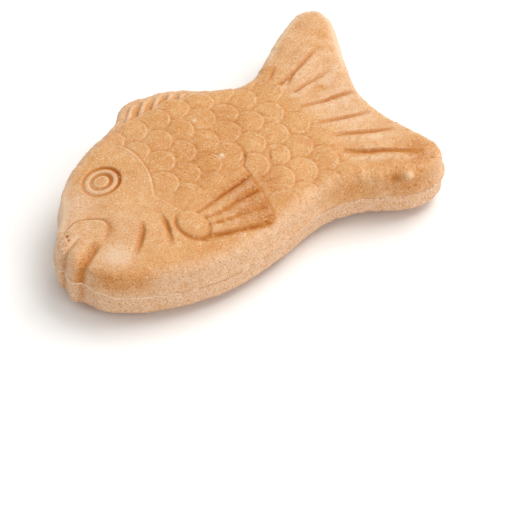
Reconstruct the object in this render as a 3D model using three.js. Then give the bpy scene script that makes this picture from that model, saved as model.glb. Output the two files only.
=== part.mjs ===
// A fish-shaped wafer cake: two crisp baked wafers, pressed in a fish mould and
// joined face to face at a seam that runs all round the side. The lower wafer
// is the upper one turned over. Both are solid up to the seam.
//
// Millimetres, +Z up. The fish lies on its side: nose towards -X, tail towards
// +X, back fin towards +Y. The origin is below the middle of its outline, on
// the surface that it rests on. Heights are counted from the seam.

import * as THREE from 'three';
import { ConvexHull } from 'three/addons/math/ConvexHull.js';

// ---- driving dimensions ---------------------------------------------------

const waferHeight = 12.25;    // seam to the top of the crown, for each wafer
const rimHeight = 10.4;       // seam to the face where the shoulder ends
const wallHeight = 5.75;      // seam to the foot of the rounded shoulder, at the tail
const headWall = 7.5;         // the same at the head, where the wall stands taller
const wallDraft = 0.9;        // how far the wall leans in below the shoulder
const shoulderInset = 5.4;    // outline to the edge of the moulded face, at the tail
const headShoulder = 10;      // the same at the head, which is rounded more
const headRange = [-30, -60]; // where along the fish the wall and shoulder change
const crownRun = 20;          // width over which the face rises to the crown
const seamBevel = 0.45;       // small V that the two rims leave at the seam
const padRadii = [14, 10];    // flat spot that the lower wafer rests on

const scaleRadius = 5.7;      // one fish scale
const scalePitch = 9.1;       // scale to scale along a row
const rowPitch = 9.8;         // row to row
const rowShift = 5.6;         // each row starts this much nearer the nose
const rowSlope = -0.06;       // rows fall slightly towards the tail
const scaleDepth = 0.6;       // a scale's root below its free edge
const scaleGrid = { first: [-27, 32.45], rows: 7, perRow: 11, lastX: 33.5 };
// scales out of line, as row,place: how far each lies towards the back
const strayed = { '0,3': 1.2, '0,4': -0.9, '1,4': 0.8, '1,5': -1, '1,6': 1.6 };

const finDrop = 1.2;          // back fin below the body
const finWidth = 9;           // how far it reaches out from the line of the back
const ribPitch = 6.1;         // ribs of the back fin, along the back
const ribLean = 1.15;         // their lean towards the tail, run over rise
const ribStart = 2.75;        // where the line of a rib's crest crosses the length of the fish
const rib = { height: 0.8, sharp: 1.3, valley: -0.7, crest: 0.8 };

const grooveHalfWidth = 0.9;  // a ray of the side fin or the tail
const finGroove = { halfWidth: grooveHalfWidth, depth: 1 };
const tailGroove = { halfWidth: grooveHalfWidth, depth: 0.75 };
const finPlateRise = 3.4;     // smooth band of the side fin above its first ray
const bellyTop = -30;         // no scales below this, in front of the side fin's edge
const slits = { halfWidth: 1.4, depth: 1 };             // the two slits on the cheek
const mouthCut = { halfWidth: 1.3, depth: 1.1 };        // between the lips
const mouthFold = { halfWidth: 2.9, depth: 1.35 };      // between the lower lip and the chin
const lipGroove = { halfWidth: 1.3, depth: 0.45 };      // round the lips
const lips = { rise: 0.45, run: 1.6 };                  // the lips swell out of that groove
const eyeRadii = [7.9, 6.8];                            // an oval, with its long axis at eyeTurn
const eyeTurn = THREE.MathUtils.degToRad(31);
const eyeGrooves = [{ from: 0.38, to: 0.61, depth: 0.45 }, { from: 0.82, to: 1.01, depth: 0.55 }];
const ball = { rise: 0.35, grooveAt: 1.1, grooveWidth: 0.2 };     // root of the side fin
const mouthArea = { x: -51, y: 8 };                     // in front of this and below it
const crownStart = 2;         // the crown's rise starts this far inside the shoulder
const reliefFull = 4.4;       // relief fades in over the wall's top and is full this far inside
const finFront = 2;           // the back fin's ribs start this far behind the end of its line
const scalesBefore = 1;       // a scale's centre may lie this far in front of the gill edge
const padFade = 1.25;         // relief starts at the pad's edge and is full at 1.25 of it

const outlineSteps = 156;     // facets round the outline
const shoulderSteps = 3;      // facets over the shoulder
const fillPitch = 2.9;        // spacing of the points on plain stretches
const linePitch = 2.3;        // spacing of the points along a moulded line
const eyePitch = 1.85;        // and round the eye
const stepWidth = 0.3;        // half the width of a sharp step
const ringGap = 0.3;          // least gaps that points keep to those added before
const lineGap = 0.55;
const fillGap = 1.8;
const wallGap = 1.2;          // plain band above the wall, free of inner points
const ringSlack = 0.05;       // how much nearer the outline a ring's point may come at a corner
const scaleArc = { reach: Math.PI * 0.42, facets: 6 };   // a scale's free edge, half its arc

// ---- outline at the seam, clockwise from the brow ---------------------------

const brow = [[-63.4, 12.6], [-55.8, 22.8], [-42.8, 32.3], [-28, 38.4], [-21.6, 39.9]];
const backFin = [[-17.8, 42.2], [-12.8, 46.4], [-3.4, 46.6], [8.7, 42.4], [18.2, 35]];
const tailRootTop = [[25.2, 31.1], [30.4, 29.9], [36.4, 32]];
const upperLobe = [[46.5, 38.5], [56, 43.9], [63.6, 46.9], [70.5, 46.1], [74, 39.8], [72, 31]];
const tailFork = [[67, 20.5], [59.9, 2], [59.8, -7], [61.8, -17.4]];
const lowerLobe = [[64.5, -26], [66.1, -33], [65, -39.5], [59, -43.9], [49.5, -44.2]];
const tailRootBottom = [[32, -34.8], [24.5, -32.5], [16.7, -32.5]];
const belly = [[-7, -37.5], [-28, -38.8], [-45, -35]];
const chin = [[-59.5, -27.8], [-66, -22.9], [-69.8, -17.8], [-70.8, -13.8]];
const mouth = [[-73.4, -11.1], [-74.2, -7.2], [-72.9, -4], [-73.3, 0.2], [-71, 5.2], [-67, 9.8]];

// ---- moulded lines of the face ----------------------------------------------

const eye = [-41.2, 17.5];
const gillEdge = [[-33, 34], [-29.5, 32.2], [-25, 28.1], [-24, 22], [-24.6, 15.4], [-26.3, 9.1],
  [-29, 3.8], [-31.2, -0.3], [-29.9, -4.4], [-28.9, -8.9], [-28.2, -12.3], [-31, -27], [-38, -33]];
const backLine = [[-24, 35.4], [-16.4, 38.2], [-9, 38.1], [1.3, 36.6], [14.2, 31.8], [22, 27.4]];
const mouthLine = [[-68, 4.6], [-63.7, 6.6], [-59.9, 7.2], [-54.7, 4.5], [-52.1, 0.3], [-54.9, -4.6],
  [-60.5, -7]];
const mouthSlit = [[-62.6, 0.1], [-67, -0.9], [-70.6, -1.9], [-74, -3.2]];
const chinFold = [[-58.2, -5.9], [-62.4, -7.6], [-66.5, -9.4], [-69.8, -11.1]];
const cheekSlits = [[[-42.4, -7], [-45.2, -12.4], [-48.2, -15.1], [-54.6, -19.6]],
  [[-34.4, -5.6], [-35.9, -13.6], [-37.3, -17.3], [-40.4, -22.8]]];
const finBall = [-28.9, -19.2];
const finBallRadii = [4.9, 6.6];
const finEdge = [[2.6, -6], [1.8, -11.5], [0.9, -16], [0.7, -19.7], [-0.2, -24.6], [-3.4, -34]];
const finRays = [[[-24.4, -15.6], [-17.2, -14.6], [-9.5, -13.3], [1.5, -11.5]],
  [[-23.6, -19.2], [-16.7, -19.7], [-7.8, -19], [0.4, -18.8]],
  [[-24, -22.4], [-18.4, -23.8], [-12.4, -24.4], [-3.8, -25.9]],
  [[-27.6, -26.2], [-23, -28.1], [-17.4, -29.7], [-6.7, -32.6]]];
const tailRays = [[[36.8, 24.4], [41.6, 28.2]], [[38.3, 19.9], [43.3, 21.1], [59.4, 26.9]],
  [[39.8, 18], [44.2, 21.2]], [[39.6, 13.2], [46, 14.1], [56.2, 15.9]],
  [[37, 5.7], [44.3, 4.1], [56.6, 3]], [[37, -4.2], [46.2, -6.9], [54.6, -8.5]],
  [[37.5, -12.6], [43.8, -15.1], [56.6, -20.5]], [[36, -20.4], [46.1, -27.3], [57.6, -35]]];

// ---- small tools ------------------------------------------------------------

const clamp = THREE.MathUtils.clamp;
const smooth = (low, high, value) => THREE.MathUtils.smoothstep(value, low, high);

function curveThrough(points, closed = false) {
  const knots = points.map(([x, y]) => new THREE.Vector3(x, y, 0));
  return new THREE.CatmullRomCurve3(knots, closed, 'centripetal');
}

function samples(points, pitch) {
  const curve = curveThrough(points);
  const count = Math.max(1, Math.round(curve.getLength() / pitch));
  return curve.getSpacedPoints(count).map((p) => [p.x, p.y]);
}

// Closest point of a chain of straight pieces: its distance, and how far along it lies, 0 to 1.
function nearest(chain, x, y) {
  let best = { distance: Infinity, along: 0, side: 1 };
  for (let k = 1; k < chain.length; k += 1) {
    const [ax, ay] = chain[k - 1];
    const [bx, by] = chain[k];
    const [ux, uy] = [bx - ax, by - ay];
    const t = clamp(((x - ax) * ux + (y - ay) * uy) / (ux * ux + uy * uy), 0, 1);
    const distance = Math.hypot(x - ax - t * ux, y - ay - t * uy);
    if (distance < best.distance) {
      const side = Math.sign(ux * (y - ay) - uy * (x - ax));
      best = { distance, along: (k - 1 + t) / (chain.length - 1), side };
    }
  }
  return best;
}

// Rows of points beside a chain, at the given offsets to its left.
function beside(chain, offsets) {
  return chain.flatMap((point, k) => {
    const from = chain[Math.max(0, k - 1)];
    const to = chain[Math.min(chain.length - 1, k + 1)];
    const length = Math.hypot(to[0] - from[0], to[1] - from[1]);
    const normal = [(from[1] - to[1]) / length, (to[0] - from[0]) / length];
    return offsets.map((d) => [point[0] + d * normal[0], point[1] + d * normal[1]]);
  });
}

function turnsLeft(a, b, c) {
  return (b[0] - a[0]) * (c[1] - a[1]) > (b[1] - a[1]) * (c[0] - a[0]);
}

function ring(centre, radiusX, radiusY, pitch) {
  const count = Math.round((Math.PI * (radiusX + radiusY)) / pitch);
  return Array.from({ length: count }, (_, k) => {
    const turn = (2 * Math.PI * k) / count;
    return [centre[0] + radiusX * Math.cos(turn), centre[1] + radiusY * Math.sin(turn)];
  });
}

// ---- outline ----------------------------------------------------------------

const outlineKnots = [brow, backFin, tailRootTop, upperLobe, tailFork, lowerLobe,
  tailRootBottom, belly, chin, mouth].flat();
const outline = curveThrough(outlineKnots, true).getSpacedPoints(outlineSteps).slice(0, -1)
  .map((p) => [p.x, p.y]);
const outlineLoop = [...outline, outline[0]];
const bounds = new THREE.Box2().setFromPoints(outline.map(([x, y]) => new THREE.Vector2(x, y)));
const middle = bounds.getCenter(new THREE.Vector2());

function insideOutline(x, y) {
  let inside = false;
  for (let k = 0; k < outline.length; k += 1) {
    const [ax, ay] = outlineLoop[k];
    const [bx, by] = outlineLoop[k + 1];
    if (ay > y !== by > y && x < ax + ((y - ay) * (bx - ax)) / (by - ay)) inside = !inside;
  }
  return inside;
}

// The outline moved inwards; it runs clockwise, so inwards is to its right.
function insetOutline(insetAt) {
  return outline.map(([x, y], k) => {
    const inset = insetAt(x);
    const from = outline[(k + outline.length - 1) % outline.length];
    const to = outline[(k + 1) % outline.length];
    const length = Math.hypot(to[0] - from[0], to[1] - from[1]);
    return [x + (inset * (to[1] - from[1])) / length, y - (inset * (to[0] - from[0])) / length];
  });
}

// ---- relief of the face -----------------------------------------------------

const gillChain = samples(gillEdge, linePitch);
const backChain = samples(backLine, linePitch);
const mouthChain = samples(mouthLine, linePitch);
const mouthCutChain = samples(mouthSlit, linePitch);
const chinFoldChain = samples(chinFold, linePitch);
const cheekChains = cheekSlits.map((slit) => samples(slit, linePitch));
const finEdgeChain = samples(finEdge, linePitch);
const finChains = finRays.map((ray) => samples(ray, linePitch));
const tailChains = tailRays.map((ray) => samples(ray, linePitch));

function behindGill(x, y) {
  const { side, distance } = nearest(gillChain, x, y);
  return side * distance;
}

// The side fin's plate lies between its free edge and a line just above its first ray.
function onSideFin(x, y) {
  const [rootX, rootY] = finRays[0][0];
  const [tipX, tipY] = finRays[0].at(-1);
  const topRay = rootY + ((tipY - rootY) * (x - rootX)) / (tipX - rootX);
  const behindRoot = x > finBall[0] && y < topRay + finPlateRise;
  return behindRoot && nearest(finEdgeChain, x, y).side < 0;
}

// Scale centres: slanted, staggered rows from below the back fin to the belly.
function scaleCentres() {
  const centres = [];
  const [startX, startY] = scaleGrid.first;
  for (let row = 0; row < scaleGrid.rows; row += 1) {
    for (let step = 0; step < scaleGrid.perRow; step += 1) {
      const x = startX + step * scalePitch - row * rowShift;
      const stray = strayed[`${row},${step}`] ?? 0;
      const y = startY - row * rowPitch + rowSlope * (x - startX) + stray;
      const showing = behindGill(x, y) > -scalesBefore && !onSideFin(x, y) && x < scaleGrid.lastX;
      if (showing && insideOutline(x, y)) centres.push([x, y]);
    }
  }
  return centres.sort((a, b) => a[0] - b[0]);
}

const scales = scaleCentres();

// Each scale is a tilted disc, its free edge towards the tail, and lies over the next one.
function scaleRelief(x, y) {
  const top = scales.find(([cx, cy]) => Math.hypot(x - cx, y - cy) < scaleRadius);
  return top ? (scaleDepth * ((x - top[0]) / scaleRadius - 1)) / 2 : -scaleDepth;
}

function grooveRelief(chains, { halfWidth, depth }, x, y) {
  const distance = Math.min(...chains.map((chain) => nearest(chain, x, y).distance));
  return -depth * (1 - smooth(0, halfWidth, distance));
}

// Two oval grooves, with the pupil inside the first and a flat ring between them.
function eyeRelief(x, y) {
  const [dx, dy] = [x - eye[0], y - eye[1]];
  const along = (dx * Math.cos(eyeTurn) + dy * Math.sin(eyeTurn)) / eyeRadii[0];
  const across = (dy * Math.cos(eyeTurn) - dx * Math.sin(eyeTurn)) / eyeRadii[1];
  const r = Math.hypot(along, across);
  return eyeGrooves.reduce((height, { from, to, depth }) => (
    height - depth * Math.sin(Math.PI * clamp((r - from) / (to - from), 0, 1))), 0);
}

function ballRelief(x, y) {
  const r = Math.hypot((x - finBall[0]) / finBallRadii[0], (y - finBall[1]) / finBallRadii[1]);
  const groove = smooth(0, ball.grooveWidth, Math.abs(r - ball.grooveAt)) - 1;
  return r < 1 ? ball.rise * (1 - r * r) : finGroove.depth * groove;
}

function mouthRelief(x, y) {
  const { side, distance } = nearest(mouthChain, x, y);
  const swell = side < 0 ? lips.rise * smooth(0, lips.run, distance) : 0;
  return swell + grooveRelief([mouthChain], lipGroove, x, y)
    + grooveRelief([mouthCutChain], mouthCut, x, y) + grooveRelief([chinFoldChain], mouthFold, x, y);
}

function headRelief(x, y) {
  const face = eyeRelief(x, y) + grooveRelief(cheekChains, slits, x, y);
  const nearMouth = x < mouthArea.x && y < mouthArea.y;
  return face + (nearMouth ? mouthRelief(x, y) : 0);
}

function onBackFin(x, y) {
  const [front, rear] = [backLine[0], backLine.at(-1)];
  return x > front[0] + finFront && x < rear[0] && y > rear[1]
    && nearest(backChain, x, y).side > 0;
}

function backFinRelief(x, y) {
  const phase = (2 * Math.PI * (x - ribLean * y - ribStart)) / ribPitch;
  return rib.height * clamp(rib.sharp * Math.cos(phase), rib.valley, rib.crest) - finDrop;
}

function faceRelief(x, y) {
  if (onBackFin(x, y)) return backFinRelief(x, y);
  const root = ballRelief(x, y);
  if (root > 0) return root;
  if (behindGill(x, y) < 0) return root + headRelief(x, y);
  if (onSideFin(x, y)) return root + grooveRelief(finChains, finGroove, x, y);
  const plainBelly = x < finEdge[0][0] && y < bellyTop;
  const skin = plainBelly ? -scaleDepth / 2 : scaleRelief(x, y);
  const rays = x > scaleGrid.lastX ? grooveRelief(tailChains, tailGroove, x, y) : 0;
  return skin + root + rays;
}

// ---- height of the wafer above the seam -------------------------------------

// Blends a size at the tail into its size at the head.
function towardsHead(x, atTail, atHead) {
  return atTail + (atHead - atTail) * smooth(-headRange[0], -headRange[1], -x);
}

const shoulderAt = (x) => towardsHead(x, shoulderInset, headShoulder);
const wallAt = (x) => towardsHead(x, wallHeight, headWall);

// Wall, rounded shoulder, then a face that rises gently to the crown.
function bodyHeight(x, inset) {
  const wall = wallAt(x);
  if (inset <= wallDraft) return seamBevel + ((wall - seamBevel) * inset) / wallDraft;
  const width = shoulderAt(x);
  const turn = Math.acos(clamp((width - inset) / (width - wallDraft), 0, 1));
  const crown = smooth(width - crownStart, shoulderInset + crownRun, inset);
  return wall + (rimHeight - wall) * Math.sin(turn) + (waferHeight - rimHeight) * crown;
}

function waferTop(x, y, inset, withPad) {
  const onFace = smooth(wallDraft, reliefFull, inset);
  if (!withPad) return bodyHeight(x, inset) + faceRelief(x, y) * onFace;
  const pad = Math.hypot((x - middle.x) / padRadii[0], (y - middle.y) / padRadii[1]);
  const relief = faceRelief(x, y) * onFace * smooth(1, padFade, pad);
  return Math.min(bodyHeight(x, inset) + relief, waferHeight);
}

// ---- points of the mesh, seen from above ------------------------------------

// Keeps a point only where it has room, so lines come first and plain stretches last.
function pointBed() {
  const points = [];
  const cell = fillPitch;
  const cells = new Map();
  const key = (x, y) => `${Math.floor(x / cell)},${Math.floor(y / cell)}`;
  const neighbours = (x, y) => [-cell, 0, cell].flatMap((dx) => (
    [-cell, 0, cell].flatMap((dy) => cells.get(key(x + dx, y + dy)) ?? [])));
  const add = (x, y, gap) => {
    if (neighbours(x, y).some((q) => Math.hypot(q[0] - x, q[1] - y) < gap)) return;
    points.push([x, y]);
    cells.set(key(x, y), [...(cells.get(key(x, y)) ?? []), [x, y]]);
  };
  return { points, add };
}

// Rings of points up the wall and over the shoulder, each as an inset at a given x.
function shoulderRings() {
  return Array.from({ length: shoulderSteps + 1 }, (_, k) => {
    const share = 1 - Math.cos((k * Math.PI) / 2 / shoulderSteps);
    return (x) => wallDraft + (shoulderAt(x) - wallDraft) * share;
  });
}

// Two arcs of points along each scale's free edge, one on it and one below it.
function scaleEdgePoints() {
  const { reach, facets } = scaleArc;
  return scales.flatMap(([cx, cy]) => [-stepWidth, stepWidth].flatMap((step) => (
    Array.from({ length: facets + 1 }, (_, k) => {
      const turn = reach * ((2 * k) / facets - 1);
      const r = scaleRadius + step;
      return [cx + r * Math.cos(turn), cy + r * Math.sin(turn)];
    }))));
}

// Ovals of points on the edges and the bottom of each groove of the eye.
function eyePoints() {
  const [cos, sin] = [Math.cos(eyeTurn), Math.sin(eyeTurn)];
  const shares = eyeGrooves.flatMap(({ from, to }) => [from, (from + to) / 2, to]);
  const ovals = shares.flatMap((r) => ring([0, 0], r * eyeRadii[0], r * eyeRadii[1], eyePitch));
  return [eye, ...ovals.map(([u, v]) => [eye[0] + u * cos - v * sin, eye[1] + u * sin + v * cos])];
}

// Lines of points along the crests and valleys of the back fin's ribs.
function ribPoints() {
  const points = [];
  for (const [x, y] of samples(backLine, ribPitch / 2)) {
    const nearestRib = Math.round((2 * (x - ribLean * y - ribStart)) / ribPitch);
    const footX = (nearestRib * ribPitch) / 2 + ribLean * y + ribStart;
    for (let rise = 1; rise < finWidth; rise += linePitch) {
      points.push([footX + ribLean * rise, y + rise]);
    }
  }
  return points;
}

function moulded() {
  const inGroove = [-grooveHalfWidth, 0, grooveHalfWidth];
  const atStep = [-stepWidth, stepWidth];
  const ballRing = (scale) => ring(finBall, finBallRadii[0] * scale, finBallRadii[1] * scale, linePitch);
  return [
    eyePoints(),
    ballRing(1 - stepWidth / finBallRadii[0]),
    ballRing(ball.grooveAt),
    ...finChains.map((chain) => beside(chain, inGroove)),
    ...cheekChains.map((chain) => beside(chain, [-slits.halfWidth, 0, slits.halfWidth])),
    beside(mouthCutChain, [-mouthCut.halfWidth, 0, mouthCut.halfWidth]),
    beside(chinFoldChain, [-mouthFold.halfWidth, 0, mouthFold.halfWidth]),
    beside(mouthChain, [-lipGroove.halfWidth, 0, lips.run]),
    ...[gillChain, finEdgeChain, backChain].map((chain) => beside(chain, atStep)),
    ...tailChains.map((chain) => beside(chain, inGroove)),
    scaleEdgePoints(),
    ribPoints(),
  ].flat();
}

// Inset of a point from the outline, or 0 outside it.
function insetOf(x, y) {
  return insideOutline(x, y) ? nearest(outlineLoop, x, y).distance : 0;
}

function planPoints() {
  const bed = pointBed();
  outline.forEach(([x, y]) => bed.add(x, y, 0));
  const addRing = (insetAt, gap) => insetOutline(insetAt).forEach(([x, y], k) => {
    if (insetOf(x, y) > insetAt(outline[k][0]) - ringSlack) bed.add(x, y, gap);
  });
  const rings = shoulderRings();
  rings.slice(0, -1).forEach((insetAt) => addRing(insetAt, ringGap));
  const firstRing = wallDraft + wallGap;
  moulded().filter(([x, y]) => insetOf(x, y) > firstRing)
    .forEach(([x, y]) => bed.add(x, y, lineGap));
  addRing(rings.at(-1), linePitch / 2);
  const rowStep = fillPitch * Math.sin(Math.PI / 3);
  for (let y = bounds.min.y; y < bounds.max.y; y += rowStep) {
    const stagger = (Math.round((y - bounds.min.y) / rowStep) % 2) / 2;
    for (let x = bounds.min.x + stagger * fillPitch; x < bounds.max.x; x += fillPitch) {
      if (insetOf(x, y) > firstRing) bed.add(x, y, fillGap);
    }
  }
  return bed.points;
}

// Delaunay triangles: the underside of the hull of the points lifted to a paraboloid.
function triangulate(points) {
  const lifted = points.map(([x, y]) => new THREE.Vector3(x, y, x * x + y * y));
  const index = new Map(lifted.map((p, k) => [p, k]));
  const hull = new ConvexHull().setFromPoints(lifted);
  const triangles = [];
  for (const face of hull.faces) {
    const corners = [0, 1, 2].map((k) => index.get(face.getEdge(k).head().point));
    const [a, b, c] = corners.map((k) => points[k]);
    const middleOf = [(a[0] + b[0] + c[0]) / 3, (a[1] + b[1] + c[1]) / 3];
    if (face.normal.z < 0 && insideOutline(...middleOf)) {
      triangles.push(turnsLeft(a, b, c) ? corners : corners.toReversed());
    }
  }
  return triangles;
}

// ---- wafers -----------------------------------------------------------------

const plan = planPoints();
const planTriangles = triangulate(plan);

// A closed wafer above the seam plane, or below it when turned over.
function waferGeometry(turnedOver) {
  const up = turnedOver ? -1 : 1;
  const positions = plan.flatMap(([x, y], k) => {
    const inset = k < outline.length ? 0 : nearest(outlineLoop, x, y).distance;
    return [x, y, up * waferTop(x, y, inset, turnedOver)];
  });
  const seamRing = insetOutline(() => seamBevel);
  const firstSeam = plan.length;
  seamRing.forEach(([x, y]) => positions.push(x, y, 0));

  const triangles = [...planTriangles];
  for (let k = 0; k < outline.length; k += 1) {
    const next = (k + 1) % outline.length;
    triangles.push([k, next, firstSeam + next], [k, firstSeam + next, firstSeam + k]);
  }
  const contour = seamRing.map(([x, y]) => new THREE.Vector2(x, y));
  for (const corners of THREE.ShapeUtils.triangulateShape(contour, [])) {
    const [a, b, c] = corners.map((k) => seamRing[k]);
    const facingDown = turnsLeft(a, b, c) ? corners.toReversed() : corners;
    triangles.push(facingDown.map((k) => firstSeam + k));
  }

  const geometry = new THREE.BufferGeometry();
  geometry.setAttribute('position', new THREE.Float32BufferAttribute(positions, 3));
  geometry.setIndex(triangles.flatMap((t) => (turnedOver ? t.toReversed() : t)));
  geometry.computeVertexNormals();
  return geometry;
}

const bakedWafer = new THREE.MeshStandardMaterial({ color: '#dfa568', roughness: 0.6, metalness: 0 });

function wafer(name, turnedOver) {
  const mesh = new THREE.Mesh(waferGeometry(turnedOver), bakedWafer.clone());
  mesh.name = name;
  mesh.position.set(-middle.x, -middle.y, waferHeight);
  return mesh;
}

const fish = new THREE.Group();
fish.add(wafer('upper_wafer', false), wafer('lower_wafer', true));

export default fish;
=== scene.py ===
import copy
import math

import bpy
import numpy as np
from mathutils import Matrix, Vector
from mathutils.geometry import delaunay_2d_cdt


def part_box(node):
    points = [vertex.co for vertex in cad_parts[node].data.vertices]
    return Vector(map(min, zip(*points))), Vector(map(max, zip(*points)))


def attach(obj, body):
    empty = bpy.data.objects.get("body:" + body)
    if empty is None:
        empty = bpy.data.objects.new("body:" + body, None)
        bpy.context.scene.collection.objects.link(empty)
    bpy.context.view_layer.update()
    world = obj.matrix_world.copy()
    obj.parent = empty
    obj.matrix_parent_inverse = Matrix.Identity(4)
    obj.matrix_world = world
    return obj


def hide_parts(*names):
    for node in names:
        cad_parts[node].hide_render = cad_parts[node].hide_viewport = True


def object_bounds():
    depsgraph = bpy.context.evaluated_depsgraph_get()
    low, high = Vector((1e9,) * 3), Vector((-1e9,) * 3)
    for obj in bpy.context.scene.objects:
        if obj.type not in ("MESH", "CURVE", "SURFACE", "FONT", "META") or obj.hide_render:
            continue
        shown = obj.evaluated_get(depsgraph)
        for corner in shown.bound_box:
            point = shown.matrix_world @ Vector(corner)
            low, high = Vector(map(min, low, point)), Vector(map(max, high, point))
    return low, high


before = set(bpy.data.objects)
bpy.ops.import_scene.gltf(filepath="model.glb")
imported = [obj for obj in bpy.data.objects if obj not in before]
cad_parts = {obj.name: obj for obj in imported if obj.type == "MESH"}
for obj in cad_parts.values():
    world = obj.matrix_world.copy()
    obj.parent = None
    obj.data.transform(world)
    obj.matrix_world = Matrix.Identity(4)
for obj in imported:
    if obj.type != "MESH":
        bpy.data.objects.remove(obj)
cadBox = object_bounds()

# A fish-shaped cake of two baked wafers, pressed in a mould and joined at a seam.
# Plan places and heights are millimetres in the mould's frame: nose to -x, back fin to +y,
# heights counted from the seam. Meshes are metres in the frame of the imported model.
# In the dictionaries a soft line, such as a rim or a foot, is its width and its place, a fade is
# where it starts and ends, and four numbers rise over the first two and fall over the last two.
mm = 0.001
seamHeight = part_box("upper_wafer")[0].z / mm
leastRadius = 0.01       # mm, so that a direction from a centre is never divided by nothing


def smooth(low, high, value):
    t = np.clip((value - low) / (high - low), 0, 1)
    return t * t * (3 - 2 * t)


def window(value, start, full, end, gone):
    # rises from start to full, and falls again from end to gone
    return smooth(start, full, value) * (1 - smooth(end, gone, value))


def bell(value, width, at=0.0):
    return np.exp(-((value - at) / width) ** 2)


def within(value, low, high):
    return (value > low) & (value < high)


def throughKnots(knots, pitch, closed=False, stepsPerLeg=32):
    # a centripetal Catmull-Rom curve through the knots, cut into even steps
    p = np.array(knots, float)
    if closed:
        p = np.concatenate([p[-1:], p, p[:2]])
    else:
        p = np.concatenate([2 * p[:1] - p[1:2], p, 2 * p[-1:] - p[-2:-1]])
    t = np.linspace(0, 1, stepsPerLeg + 1)[:-1, None]
    dense = []
    for a, b, c, d in zip(p, p[1:], p[2:], p[3:]):
        ka, kb, kc = (np.linalg.norm(leg) ** 0.5 for leg in (b - a, c - b, d - c))
        leave = kb * ((b - a) / ka - (c - a) / (ka + kb) + (c - b) / kb)
        arrive = kb * ((c - b) / kb - (d - b) / (kb + kc) + (d - c) / kc)
        square, cube = 3 * (c - b) - 2 * leave - arrive, 2 * (b - c) + leave + arrive
        dense.append(b + leave * t + square * t ** 2 + cube * t ** 3)
    dense = np.concatenate(dense + [p[-2:-1]])
    run = np.concatenate([[0], np.cumsum(np.linalg.norm(np.diff(dense, axis=0), axis=1))])
    count = max(1, round(run[-1] / pitch))
    stops = np.linspace(0, run[-1], count + 1)[:count if closed else None]
    return np.stack([np.interp(stops, run, dense[:, k]) for k in (0, 1)], axis=1)


def nearest(chain, x, y, pairsAtOnce=4_000_000):
    # distance to a chain of straight pieces, how far along it (0 to 1), and the side: left is positive
    start, leg = chain[:-1], np.diff(chain, axis=0)
    length2 = (leg ** 2).sum(1)
    found = np.empty((3, len(x)))
    for part in np.array_split(np.arange(len(x)), len(x) * len(leg) // pairsAtOnce + 1):
        px, py = x[part, None] - start[:, 0], y[part, None] - start[:, 1]
        t = np.clip((px * leg[:, 0] + py * leg[:, 1]) / length2, 0, 1)
        away = (px - t * leg[:, 0]) ** 2 + (py - t * leg[:, 1]) ** 2
        row, k = np.arange(len(part)), away.argmin(1)
        found[0, part] = np.sqrt(away[row, k])
        found[1, part] = (k + t[row, k]) / len(leg)
        found[2, part] = np.sign(leg[k, 0] * py[row, k] - leg[k, 1] * px[row, k])
    return found


def inside(loop, x, y):
    crossings = np.zeros(len(x), int)
    for (ax, ay), (bx, by) in zip(loop[:-1], loop[1:]):
        if ay != by:
            crossings += ((ay > y) != (by > y)) & (x < ax + (y - ay) * (bx - ax) / (by - ay))
    return crossings % 2 == 1


def lumps(points, wavelength, seed, waves=28, paces=(0.7, 1.5)):
    # a smooth random field over the points, about one unit up and down
    draw = np.random.default_rng(seed)
    heading = draw.normal(size=(waves, 3))
    heading /= np.linalg.norm(heading, axis=1)[:, None]
    pace = 2 * math.pi / wavelength * draw.uniform(*paces, waves)
    turn = points @ (heading * pace[:, None]).T + draw.uniform(0, 2 * math.pi, waves)
    return np.sin(turn).sum(1) * math.sqrt(2 / waves)


fishPlan = {   # outline at the seam, clockwise from the brow
    "brow": [(-63.4, 12.6), (-55.8, 22.8), (-42.8, 32.3), (-28, 38.4), (-21.6, 39.9)],
    "backFin": [(-17.8, 42.2), (-12.8, 46.4), (-3.4, 46.6), (8.7, 42.4), (18.2, 35)],
    "tailRootTop": [(25.2, 31.1), (30.4, 29.9), (36.4, 32)],
    "upperLobe": [(46.5, 38.5), (56, 43.9), (63.6, 46.9), (70.5, 46.1), (74, 39.8), (72, 31)],
    "tailFork": [(67, 20.5), (59.9, 2), (59.8, -7), (61.8, -17.4)],
    "lowerLobe": [(64.5, -26), (66.1, -33), (65, -39.5), (59, -43.9), (49.5, -44.2)],
    "tailRootBottom": [(32, -34.8), (24.5, -32.5), (16.7, -32.5)],
    "belly": [(-7, -37.5), (-28, -38.8), (-45, -35)],
    "chin": [(-59.5, -27.8), (-66, -22.9), (-69.8, -17.8), (-70.8, -13.8)],
    "mouth": [(-73.4, -11.1), (-74.2, -7.2), (-72.9, -4), (-73.3, 0.2), (-71, 5.2), (-67, 9.8)],
}
outlinePitch, coarsePitch = 0.43, 1.2     # the coarse outline only tells what lies inside
chainPitch = 1.0                          # steps along a moulded line


def outlineAt(pitch):
    loop = throughKnots([knot for stretch in fishPlan.values() for knot in stretch], pitch, closed=True)
    return np.concatenate([loop, loop[:1]])


outlineLoop, coarseLoop = outlineAt(outlinePitch), outlineAt(coarsePitch)
outline = outlineLoop[:-1]
ahead = np.roll(outline, -1, axis=0) - np.roll(outline, 1, axis=0)
inwards = np.stack([ahead[:, 1], -ahead[:, 0]], axis=1) / np.linalg.norm(ahead, axis=1)[:, None]
planMiddle = (outline.min(0) + outline.max(0)) / 2
planShift = np.array(((cadBox[0] + cadBox[1]) / 2 / mm)[:2]) - planMiddle

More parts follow.
